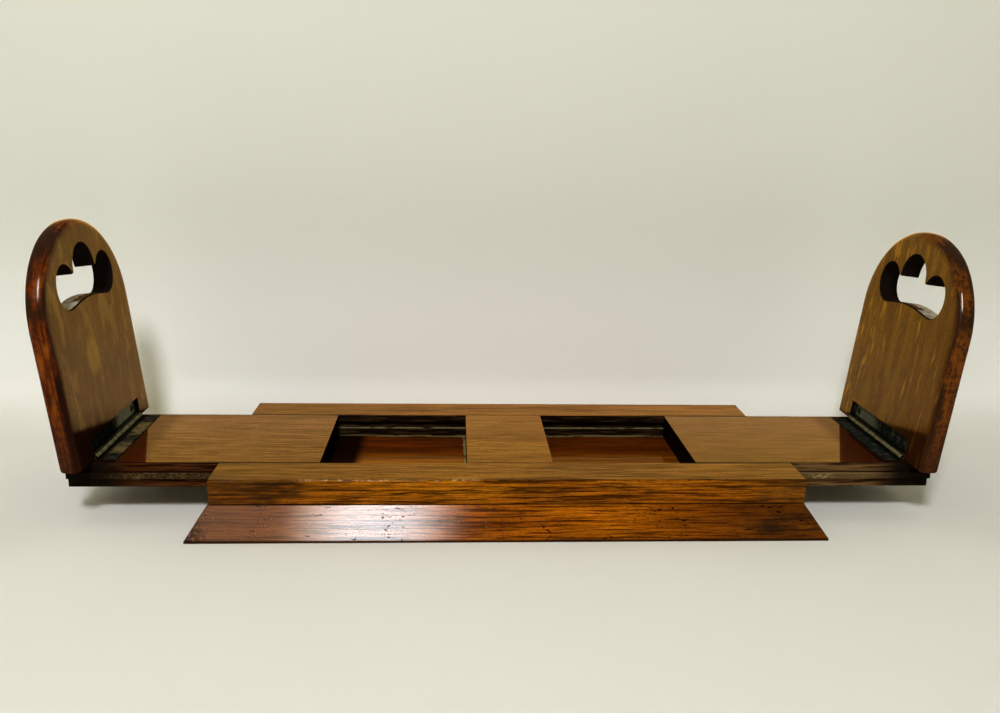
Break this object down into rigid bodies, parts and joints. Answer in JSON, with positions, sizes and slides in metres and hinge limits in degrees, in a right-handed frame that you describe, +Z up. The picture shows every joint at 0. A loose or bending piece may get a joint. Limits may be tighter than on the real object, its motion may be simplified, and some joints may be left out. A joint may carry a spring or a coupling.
{
  "type": "extending book rack",
  "caption": "Desk book rack of polished oak that extends: tongued slides pull out of a grooved frame, and hinged ends with lobed hand holes fold flat onto it.",
  "frame": {"origin": "centre of the base board's underside, where the rack rests", "axes": "+X along the rack towards its right-hand end, +Y towards the back, +Z up"},
  "size_m": [0.5234, 0.1652, 0.1627],
  "materials": {
    "base_oak": "dark stained oak under polish",
    "frame_oak": "golden brown polished oak",
    "slide_oak": "golden brown polished oak",
    "end_oak": "quarter-cut polished oak",
    "hinge_brass": "dark patinated brass",
    "pin_brass": "worn brass",
    "hinge_screw_brass": "dull brass",
    "steel": "dull steel"
  },
  "bodies": {
    "frame": {"base_board": "base_oak", "front_rail": "frame_oak", "back_rail": "frame_oak", "centre_block": "frame_oak", "front_rail_screw_left": "steel", "front_rail_screw_middle": "steel", "front_rail_screw_right": "steel", "back_rail_screw_left": "steel", "back_rail_screw_middle": "steel", "back_rail_screw_right": "steel", "centre_block_screw_front": "steel", "centre_block_screw_back": "steel", "left_stop_screw": "steel", "right_stop_screw": "steel"},
    "left_slide": {"left_slide": "slide_oak", "left_slide_leaf": "hinge_brass", "left_hinge_pin": "pin_brass", "left_slide_leaf_screw_front": "hinge_screw_brass", "left_slide_leaf_screw_middle": "hinge_screw_brass", "left_slide_leaf_screw_back": "hinge_screw_brass"},
    "left_end": {"left_end": "end_oak", "left_end_leaf": "hinge_brass", "left_end_leaf_screw_front": "hinge_screw_brass", "left_end_leaf_screw_middle": "hinge_screw_brass", "left_end_leaf_screw_back": "hinge_screw_brass"},
    "right_slide": {"right_slide": "slide_oak", "right_slide_leaf": "hinge_brass", "right_hinge_pin": "pin_brass", "right_slide_leaf_screw_front": "hinge_screw_brass", "right_slide_leaf_screw_middle": "hinge_screw_brass", "right_slide_leaf_screw_back": "hinge_screw_brass"},
    "right_end": {"right_end": "end_oak", "right_end_leaf": "hinge_brass", "right_end_leaf_screw_front": "hinge_screw_brass", "right_end_leaf_screw_middle": "hinge_screw_brass", "right_end_leaf_screw_back": "hinge_screw_brass"}
  },
  "joints": [
    {"name": "left_slide_run", "type": "slide", "parent": "frame", "child": "left_slide", "axis": [1, 0, 0], "range_m": [0, 0.0837]},
    {"name": "left_end_fold", "type": "hinge", "parent": "left_slide", "child": "left_end", "pos_m": [-0.2353, 0, 0.0325], "axis": [0, 1, 0], "range_deg": [0, 96.8]},
    {"name": "right_slide_run", "type": "slide", "parent": "frame", "child": "right_slide", "axis": [-1, 0, 0], "range_m": [0, 0.0837]},
    {"name": "right_end_fold", "type": "hinge", "parent": "right_slide", "child": "right_end", "pos_m": [0.2353, 0, 0.0325], "axis": [0, -1, 0], "range_deg": [0, 96.8]}
  ]
}
